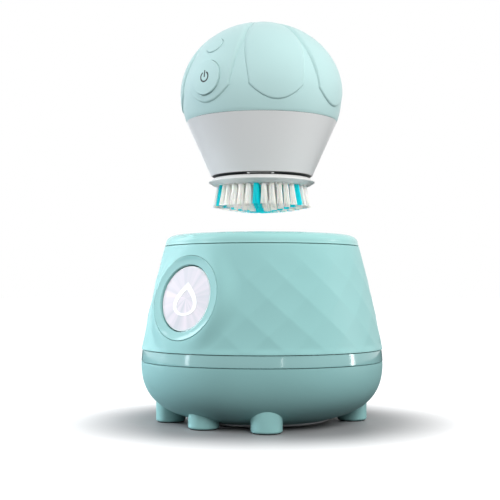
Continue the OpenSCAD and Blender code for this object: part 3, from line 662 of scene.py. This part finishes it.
def ribbon(name, path, width, height_at, thickness):
    """A flat strip along a path of (x, y), with round ends, lying on height_at(x, y)."""
    half = width / 2
    points = [Vector(p) for p in path]
    last = len(points) - 1
    rings = []
    for i, p in enumerate(points):
        along = (points[min(i + 1, last)] - points[max(i - 1, 0)]).normalized()
        side = Vector((-along.y, along.x)) * half
        rings.append((p + side, p - side))
    ends = []
    cap_steps = 6
    for end, sign in ((0, -1), (last, 1)):
        along = (points[1] - points[0] if end == 0 else points[-1] - points[-2]).normalized()
        side = Vector((-along.y, along.x))
        arc = []
        for k in range(1, cap_steps):
            a = math.pi / 2 * k / cap_steps
            out = along * sign * math.sin(a) * half
            across = side * half * math.cos(a)
            arc.append((points[end] + out + across, points[end] + out - across))
        ends.append(arc)
    rings = ends[0][::-1] + rings + ends[1]

    # each cross-section is a flat top with softened edges and straight sides
    soft = 0.18
    verts = []
    for a, b in rings:
        mid = (a + b) / 2
        section = ((a, -1), (a, -soft), (a.lerp(mid, 0.3), 0),
                   (b.lerp(mid, 0.3), 0), (b, -soft), (b, -1))
        verts += [(p.x, p.y, height_at(p.x, p.y) + up * thickness) for p, up in section]
    return new_piece(name, verts, tube(len(rings), 6), 50)


def make_power_sign():
    """The usual on-off sign on the larger button: an open ring with a bar through its gap."""
    t, _, proud, _ = BUTTONS["power_button"]
    radius = 2.15 * MM
    opening = 34            # degrees from the bar to each end of the ring
    width, thickness = 0.75 * MM, 0.3 * MM

    def surface(x, y):
        return cap_height(math.hypot(x, y), proud) + 0.04 * MM

    turns = [math.radians(a) for a in range(opening, 360 - opening + 1, 8)]
    arc = [(radius * math.sin(a), radius * math.cos(a)) for a in turns]
    bar = [(0, (0.1 + 0.25 * k) * MM) for k in range(11)]
    strips = [ribbon("sign", line, width, surface, thickness) for line in (arc, bar)]
    sign = move(join("power_sign", strips), button_place(t))
    finish_piece(sign, "power_button", stands_for=False, slot="rubber_grey")


def cone_r(z):
    """Radius of the cone's side at a height."""
    return CONE_BOTTOM_R + CONE_SLOPE * (z - CONE_Z)


def make_cone():
    """The pale cone, and three shallow lugs under its edge with a step at both ends."""
    top = SEAM_Z - 0.06 * MM
    wall = 2 * MM
    floor = CONE_Z + wall
    bore_r = 3.1 * MM
    outline = rounded([
        (bore_r, CONE_Z, 0), (CONE_BOTTOM_R - 0.2 * MM, CONE_Z, 0.6 * MM),
        (cone_r(top) - 0.05 * MM, top, 0.08 * MM), (cone_r(top) - wall, top, 0),
        (cone_r(floor) - wall, floor, 0), (bore_r, floor, 0)], 8)
    pieces = [lathe("cone_housing", outline, 288)]
    step_arc = 2.6
    for k in range(3):
        middle = LUG_TURN + 120 * k
        pieces.append(arc_block("lug", middle, LUG_ARC, 0.42 * MM))
        for side in (-1, 1):
            end = middle + side * (LUG_ARC / 2 - 1.2)
            pieces.append(arc_block("lug", end, step_arc, 0.8 * MM))
    finish_piece(join("cone_housing", pieces), "lower_housing")


def make_seal():
    """The dark seal under the cone, with its black lip carried out to the cone's edge as painted
    shade in the gap under the cone.
    """
    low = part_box("neck_seal")[0].z
    collar_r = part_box("neck_seal")[1].x
    # the seal's lip reaches out to the cone's edge: a black sheet of painted shade in the gap under
    # the cone
    painted_shade_lip_r = CONE_BOTTOM_R - 0.75 * MM
    shaft_r = 3.05 * MM
    outline = rounded([(shaft_r, low, 0), (collar_r, low, 0.3 * MM),
                       (painted_shade_lip_r, CONE_Z - 0.15 * MM, 0.1 * MM), (painted_shade_lip_r, CONE_Z, 0),
                       (shaft_r, CONE_Z, 0)])
    finish_piece(lathe("seal_with_painted_shade_lip", outline, 192), "neck_seal")


def arc_block(name, middle, arc, drop):
    """A block under the cone's edge, centred at a turn in degrees from the front."""
    steps = max(2, round(arc / 2))      # about two degrees each
    outer_r = LUG_R + 1.5 * MM
    high, low = CONE_Z + 0.3 * MM, CONE_Z - drop
    section = rounded([(LUG_R, high, 0), (LUG_R, low, 0.15 * MM), (outer_r, low, 0.15 * MM),
                       (outer_r, high, 0)], 3)
    verts = []
    for s in range(steps + 1):
        a = math.radians(middle + arc * (s / steps - 0.5))
        verts += [at_turn(a, r, z) for r, z in section]
    return new_piece(name, verts, tube(steps + 1, len(section)))


# ---- Brush head ----

def tufts():
    """(ring, turn, radius, coloured) of each tuft, from the middle out."""
    found = [(0, 0.0, 0.0, True)]
    for k in range(1, TUFT_RINGS + 1):
        for i in range(6 * k):
            found.append((k, TUFT_TURN + 60 * i / k, TUFT_RING_R * k / TUFT_RINGS, i % k == 0))
    return found


def make_plate():
    """The head's plate, with a thin rim and a socket for the shaft."""
    rim = PLATE_TOP - 1.7 * MM
    socket_r = 3.1 * MM
    socket_z = PLATE_TOP - 3.1 * MM
    outline = rounded([
        (0, PLATE_BOTTOM, 0), (20.6 * MM, PLATE_BOTTOM, 1.2 * MM),
        (22.4 * MM, PLATE_BOTTOM + 0.5 * MM, 1.5 * MM),
        (PLATE_R - 0.1 * MM, rim - 0.3 * MM, 0.2 * MM), (PLATE_R, rim, 0.2 * MM),
        (PLATE_R - 0.15 * MM, rim + 0.35 * MM, 0.2 * MM),
        (22.3 * MM, PLATE_TOP - 0.1 * MM, 0.9 * MM), (21.4 * MM, PLATE_TOP, 0.3 * MM),
        (socket_r, PLATE_TOP, 0.1 * MM), (socket_r, socket_z, 0), (0, socket_z, 0)], 6)
    finish_piece(lathe("bristle_plate", outline, 256), "head_plate")


def packed_disc(rings):
    """Points of a hexagonal packing inside a unit circle."""
    points = [(0.0, 0.0)]
    for k in range(1, rings + 1):
        for i in range(6 * k):
            a = math.tau * (i + 0.5 * (k % 2)) / (6 * k)
            points.append((k / rings * math.cos(a), k / rings * math.sin(a)))
    return points


def make_bristles():
    """Every filament of every tuft, standing in the plate and splayed towards its tip."""
    rng = random.Random(7)
    sides = 5
    filament_r = 0.135 * MM
    # shares of a filament's length, and how thick it is there
    profile = ((-0.06, 1), (0.35, 1), (0.72, 1), (0.985, 0.95), (1.0, 0.6))
    bundle = packed_disc(3)
    corners = [Vector((math.cos(a), math.sin(a), 0)) * filament_r
               for a in (math.tau * j / sides for j in range(sides))]
    outline = tube(len(profile), sides)
    parts = {True: ([], []), False: ([], [])}
    for k, turn, radius, coloured in tufts():
        verts, faces = parts[coloured]
        share = (k / TUFT_RINGS) ** 2
        length = TUFT_H + TUFT_CROWN * (1 - share)
        splay = math.radians(TUFT_SPLAY * share)
        spin = Matrix.Rotation(math.radians(turn), 3, "Z")
        twist = rng.uniform(0, 1)
        c, s = math.cos(twist), math.sin(twist)
        for x, y in bundle:
            x, y = x * c - y * s, x * s + y * c
            bend = Vector((rng.gauss(0, 0.10), rng.gauss(0, 0.10), 0)) * MM
            end = length * math.cos(splay) + rng.uniform(-0.12, 0.10) * MM
            root = Vector((x * ROOT_R, -radius + y * ROOT_R, 0))
            tip = Vector((x * TIP_R, -radius - end * math.tan(splay) + y * TIP_R, -end))
            tip += bend * 1.5
            start = len(verts)
            for share_up, thick in profile:
                bow = 0.8 * math.sin(math.pi * max(0, share_up))
                at = root.lerp(tip, share_up) - bend * bow
                for corner in corners:
                    p = spin @ (at + corner * thick)
                    verts.append((p.x, p.y, p.z + PLATE_BOTTOM))
            faces.extend(tuple(start + v for v in face) for face in outline)
    for coloured, node in ((True, "bristles_teal"), (False, "bristles_white")):
        finish_piece(new_piece(node + "_filaments", *parts[coloured], 60), node)


# ---- Station: mouldings ----

def shell_r(z):
    """Radius of the shell's plain skin at a height."""
    t = (RIM_SEAM - z) / (RIM_SEAM - BAND_TOP)
    return RIM_SEAM_R + (STATION_R - RIM_SEAM_R) * t + SHELL_BULGE * 4 * t * (1 - t)


# The middle of the station button's plane, with +Z out of the shell
BUTTON_PLACE = (Matrix.Translation((0, -shell_r(BUTTON_Z), BUTTON_Z))
                @ Matrix.Rotation(math.pi / 2 - BUTTON_TILT, 4, "X"))


def bowl_side(inset, steps=48):
    """Side of the bowl, from the band down to its flat bottom."""
    flat = 20 * MM
    power = 2.5
    a = STATION_R - flat - inset
    b = BAND_BOTTOM - BOWL_BOTTOM - inset
    points = []
    for k in range(steps + 1):
        e = math.pi / 2 * k / steps
        points.append((flat + a * math.cos(e) ** (2 / power) if k < steps else flat,
                       BAND_BOTTOM - b * math.sin(e) ** (2 / power)))
    return points


def seat_r(z):
    """Radius of the rim's inner side, which leaves room for the cone when the brush is docked."""
    return SEAM_R + 0.35 * MM - CONE_SLOPE * (RIM_TOP + 1 * MM - z)


def make_rim():
    """The satin ring on top of the station, with a full outer shoulder."""
    low = RIM_SEAM + SEAM_GAP
    base = RIM_SEAM + 0.6 * MM
    flat_r = 37.7 * MM
    steps = 24
    corners = [(seat_r(low), low, 0), (RIM_SEAM_R - 0.02 * MM, low, 0.15 * MM),
               (RIM_SEAM_R - 0.22 * MM, RIM_SEAM + 0.7 * MM, 0)]
    for k in range(1, steps + 1):
        e = math.pi / 2 * k / steps
        corners.append((flat_r + (RIM_SEAM_R - 0.3 * MM - flat_r) * max(0, math.cos(e)) ** 0.8,
                        base + (RIM_TOP - base) * math.sin(e) ** 0.8, 0))
    corners += [(seat_r(RIM_TOP) + 0.4 * MM, RIM_TOP, 0.5 * MM),
                (seat_r(RIM_TOP - 0.9 * MM), RIM_TOP - 0.9 * MM, 0.4 * MM)]
    # the rim's look is the lighter satin copy of the aqua: painted light
    finish_piece(lathe("rim_satin", rounded(corners, 6), 288, 30), "rim_ring", look="satin_lit_aqua")


def skin_height(x, y):
    """Height of the shell's plain skin over the button's plane, at x, y on that plane."""
    low, high = -8 * MM, 3 * MM
    for _ in range(30):
        mid = (low + high) / 2
        p = BUTTON_PLACE @ Vector((x, y, mid))
        if math.hypot(p.x, p.y) > shell_r(p.z):
            high = mid
        else:
            low = mid
    return (low + high) / 2


def swell(spot):
    """How far the skin is drawn out to meet the bezel, at a spot seen from the button."""
    away = max(math.hypot(spot.x, spot.y), 1e-6)
    if spot.z < BEHIND or away > BEZEL_R + SWELL:
        return 0
    edge = skin_height(BEZEL_R * spot.x / away, BEZEL_R * spot.y / away)
    return -edge * BEZEL_FLAT * (1 - step((away - BEZEL_R) / SWELL))


def dish_depths():
    """Random depths of the facets, in a table for each way that their creases slant."""
    rng = random.Random(11)
    return [[[rng.uniform(low, high) * MM for _ in range(FACETS_AROUND * 2)]
             for _ in range(FACET_ROWS + 2)] for low, high in (FALLING_DISH, RISING_DISH)]


def facet(falling, rising, u, v):
    """Skin offset at u half-pitches round and v rows up: each diamond is a shallow dish."""
    p, q = (u + v) / 2, (u - v) / 2
    i, j = math.floor(p), math.floor(q)
    f, g = p - i, q - j

    def depth(table, a, b):
        return table[(a - b) % len(table)][(a + b) % len(table[0])]

    across = depth(falling, i, j) * (1 - g) + depth(falling, i, j + 1) * g
    along = depth(rising, i, j) * (1 - f) + depth(rising, i + 1, j) * f
    return -4 * (f * (1 - f) * across + g * (1 - g) * along)


def make_shell():
    """The tapered shell, whose skin is creased into shallow diamonds."""
    depths = dish_depths()
    seen_from_button = BUTTON_PLACE.inverted()
    around = FACETS_AROUND * 2 * FACET_STEPS
    rows = FACET_ROWS * FACET_STEPS
    low, high = BAND_TOP + SEAM_GAP, RIM_SEAM - SEAM_GAP
    edge = 0.22 * MM
    levels = [(low, -edge), (low + 0.3 * edge, -0.3 * edge)]
    levels += [(BAND_TOP + (RIM_SEAM - BAND_TOP) * j / rows, 0) for j in range(1, rows)]
    levels += [(high - 0.3 * edge, -0.3 * edge), (high, -edge)]
    turns = [math.tau * i / around for i in range(around)]
    verts = []
    for z, tuck in levels:
        v = (z - BAND_TOP) / (RIM_SEAM - BAND_TOP) * FACET_ROWS
        fade = step((z - BAND_TOP) / (3 * MM)) * step((RIM_SEAM - z) / (16 * MM))
        for i, turn in enumerate(turns):
            u = (i - FACET_PHASE) / FACET_STEPS
            r = shell_r(z)
            spot = seen_from_button @ Vector(at_turn(turn, r, z))
            clear = step((math.hypot(spot.x, spot.y) - BEZEL_R - 1 * MM) / (14 * MM))
            if spot.z < BEHIND:
                clear = 1
            r += tuck + fade * clear * facet(*depths, u, v) + swell(spot)
            verts.append(at_turn(turn, min(r, STATION_R - 0.02 * MM), z))
    inner_levels = [high - (high - low) * k / 6 for k in range(7)]
    for z in inner_levels:
        verts += [at_turn(turn, shell_r(z) - WALL, z) for turn in turns]
    faces = quads(len(levels) + len(inner_levels), around)
    shell = new_piece("faceted_shell", verts, faces, 20)

    low, high = -14 * MM, 12 * MM
    outline = rounded([(0, low, 0), (POCKET_R, low, 0), (POCKET_R, high, 0), (0, high, 0)])
    cut(shell, move(lathe("cutter", outline, 160), BUTTON_PLACE))
    finish_piece(shell, "station_shell")


def make_pocket():
    """The tub behind the round button, moulded in one with the shell."""
    outer_r = POCKET_R + 1.3 * MM
    mouth, floor, bottom = -7 * MM, -11.6 * MM, -13 * MM
    outline = rounded([(outer_r, mouth, 0), (outer_r, bottom, 0), (0, bottom, 0), (0, floor, 0),
                       (POCKET_R, floor, 0), (POCKET_R, mouth, 0)])
    tub = move(lathe("button_tub", outline, 96), BUTTON_PLACE)
    finish_piece(tub, "station_shell", stands_for=False)


def make_bezel():
    """The glossy ring: its lip is level, its outer edge stands a little out at both sides."""
    around = 192
    dish_steps = 13
    lip = -0.75 * MM
    back = -4.6 * MM
    inner = DISC_R + 0.42 * MM
    verts = []
    for i in range(around):
        a = math.tau * i / around
        c, s = math.cos(a), math.sin(a)
        edge = skin_height(BEZEL_R * c, BEZEL_R * s) * (1 - BEZEL_FLAT) + 0.12 * MM
        section = [(inner, back), (inner, lip - 0.35 * MM), (inner + 0.05 * MM, lip - 0.12 * MM),
                   (inner + 0.2 * MM, lip)]
        for k in range(1, dish_steps):
            f = k / dish_steps
            dish = -0.08 * MM * math.sin(math.pi * f)
            section.append((inner + 0.2 * MM + (BEZEL_R - inner - 0.5 * MM) * f,
                            lip + (edge - lip) * f ** 1.15 + dish))
        section += [(BEZEL_R - 0.25 * MM, edge), (BEZEL_R - 0.08 * MM, edge - 0.08 * MM),
                    (BEZEL_R, edge - 0.3 * MM), (BEZEL_R, back)]
        verts += [BUTTON_PLACE @ Vector((r * c, r * s, z)) for r, z in section]
    faces = quads(around, len(verts) // around)
    finish_piece(new_piece("bezel_gloss", verts, faces, 40), "bezel_ring")


def drop(height):
    """Outline of a water drop, point up, as points from its middle."""
    steps = 96
    turns = [math.tau * k / steps for k in range(steps)]
    return [(height * 0.62 * math.sin(t) * math.sin(t / 2), height / 2 * math.cos(t)) for t in turns]


def make_disc():
    """The pearl button, and a white ring round its edge that is a painted highlight of the light
    caught on its chamfer.
    """
    face = -DISC_DEPTH
    edge_r = DISC_R - 0.5 * MM
    back = face - DISC_H
    stem_r = 3 * MM
    stem_end = back - 2.6 * MM
    outline = rounded([
        (0, face, 0), (edge_r, face, 0.1 * MM), (edge_r, face - 0.4 * MM, 0),
        (DISC_R, face - 0.6 * MM, 0), (DISC_R, back, 0.2 * MM), (stem_r, back, 0),
        (stem_r, stem_end, 0.2 * MM), (0, stem_end, 0)])
    finish_piece(move(lathe("pearl_disc", outline, 192), BUTTON_PLACE), "station_button")
    # white ring on the disc's chamfer: painted highlight
    outline = rounded([(edge_r, face - 0.4 * MM, 0), (edge_r, face + 0.02 * MM, 0.05 * MM),
                       (DISC_R - 0.1 * MM, face - 0.25 * MM, 0.15 * MM),
                       (DISC_R, face - 0.6 * MM, 0)])
    ring = move(lathe("disc_edge_painted_highlight", outline, 192), BUTTON_PLACE)
    finish_piece(ring, "station_button", stands_for=False, slot="emblem_white")


def make_emblem():
    """The raised outline of a water drop on the round button's face."""
    height = 14.6 * MM
    inner_share = 0.70
    low, high = -DISC_DEPTH - 0.1 * MM, -DISC_DEPTH + 0.12 * MM
    outer = drop(height)
    inner = [(x * inner_share, y * inner_share - 0.07 * height) for x, y in outer]
    sections = (outer, low), (outer, high), (inner, high), (inner, low)
    verts = [(x, y - 0.3 * MM, z) for line, z in sections for x, y in line]
    emblem = new_piece("drop_emblem", verts, quads(len(sections), len(outer)), 50)
    finish_piece(move(emblem, BUTTON_PLACE), "button_emblem")


def make_band():
    """The glossy band under the shell, which leans in more and more towards its top."""
    low, high = BAND_BOTTOM + SEAM_GAP, BAND_TOP - SEAM_GAP
    lean_low, lean_high = 1.5, 8
    back_r = STATION_R - 3 * MM
    round_off = 0.22 * MM
    steps = 16
    rise = (high - low) / steps
    face = [(STATION_R, low, 0)]
    for k in range(1, steps + 1):
        lean = math.radians(lean_low + (lean_high - lean_low) * (k + 0.5) / steps)
        r, z, _ = face[-1]
        face.append((r - math.tan(lean) * rise, z + rise, 0))
    corners = [(back_r, low, 0), (STATION_R, low, round_off), *face[1:-1],
               (face[-1][0], high, round_off), (back_r, high, 0)]
    # the band's look is the darker copy of the aqua: painted shade
    finish_piece(lathe("band_gloss", rounded(corners, 7), 320, 30), "trim_band", look="band_aqua_painted_shade")


def make_bowl():
    """The rounded base: its side, a ledge for the cover underneath and the socket's opening."""
    top = BAND_BOTTOM - SEAM_GAP
    cover_r = 31 * MM
    ledge_r = 27 * MM
    ledge_z = BOWL_BOTTOM + 1.4 * MM
    ledge_top = ledge_z + 2 * MM
    corners = [(STATION_R - 0.2 * MM, top, 0), (STATION_R - 0.05 * MM, top - 0.1 * MM, 0)]
    corners += [(r, z, 0) for r, z in bowl_side(0) if z < top - 0.25 * MM and r > cover_r + MM]
    corners += [(cover_r, BOWL_BOTTOM, 0.3 * MM), (cover_r, ledge_z, 0), (ledge_r, ledge_z, 0.2 * MM),
                (ledge_r, ledge_top, 0.2 * MM), (cover_r + 3 * MM, ledge_top, 0)]
    inside = [(r, z, 0) for r, z in bowl_side(WALL, 20) if r > cover_r + 4 * MM and z < top - MM]
    corners += inside[::-1]
    corners += [(STATION_R - WALL, top, 0)]
    bowl = lathe("bowl", rounded(corners), 320, 30)

    # the opening at the back, drawn along its own axis and widened where it meets the skin
    socket_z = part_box("power_jack")[1].z - 5.2 * MM
    bore_r = 4.6 * MM
    mouth_r = bore_r + 1.2 * MM
    start, end = 40 * MM, 60 * MM
    outline = rounded([(0, start, 0), (bore_r, start, 0), (bore_r, 53.9 * MM, 0.4 * MM),
                       (mouth_r, 55.2 * MM, 0), (mouth_r, end, 0), (0, end, 0)])
    turn = Matrix.Translation((0, 0, socket_z)) @ Matrix.Rotation(-math.pi / 2, 4, "X")
    cut(bowl, move(lathe("cutter", outline, 96), turn))
    # the bowl's look is the darker copy of the aqua: painted shade
    finish_piece(bowl, "base_bowl", look="bowl_aqua_painted_shade")


def make_feet():
    """Five short feet that run up into the bowl, each on its own rubber pad."""
    foot_r = 6.7 * MM
    for i in range(1, 6):
        pad_low, pad_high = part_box(f"foot_pad_{i}")
        middle = (pad_low + pad_high) / 2
        place = Matrix.Translation((middle.x, middle.y, 0))
        low = pad_high.z - 0.45 * MM
        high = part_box(f"foot_{i}")[1].z + 1.2 * MM
        outline = rounded([(0, low, 0), (foot_r, low, 1.1 * MM), (foot_r, high, 0.5 * MM),
                           (0, high, 0)], 8)
        finish_piece(move(lathe(f"foot_{i}_moulding", outline, 96), place), f"foot_{i}")
        pad_r = (pad_high.x - pad_low.x) / 2
        outline = rounded([(0, 0, 0), (pad_r, 0, 0.25 * MM), (pad_r, pad_high.z, 0),
                           (0, pad_high.z, 0)], 4)
        finish_piece(move(lathe(f"foot_{i}_pad", outline, 96), place), f"foot_pad_{i}")


# ---- The whole scene ----

MATERIALS = make_materials()
make_camera()
make_light()
make_floor()

# parts that no piece stands in for keep their own shape, in the look of their slot
for name, node in frame["nodes"].items():
    node.data.materials.clear()
    node.data.materials.append(MATERIALS[SLOT_OF[name]])

make_dome()
make_caps()
make_power_sign()
make_cone()
make_seal()
make_plate()
make_bristles()
make_rim()
make_shell()
make_pocket()
make_bezel()
make_disc()
make_emblem()
make_band()
make_bowl()
make_feet()
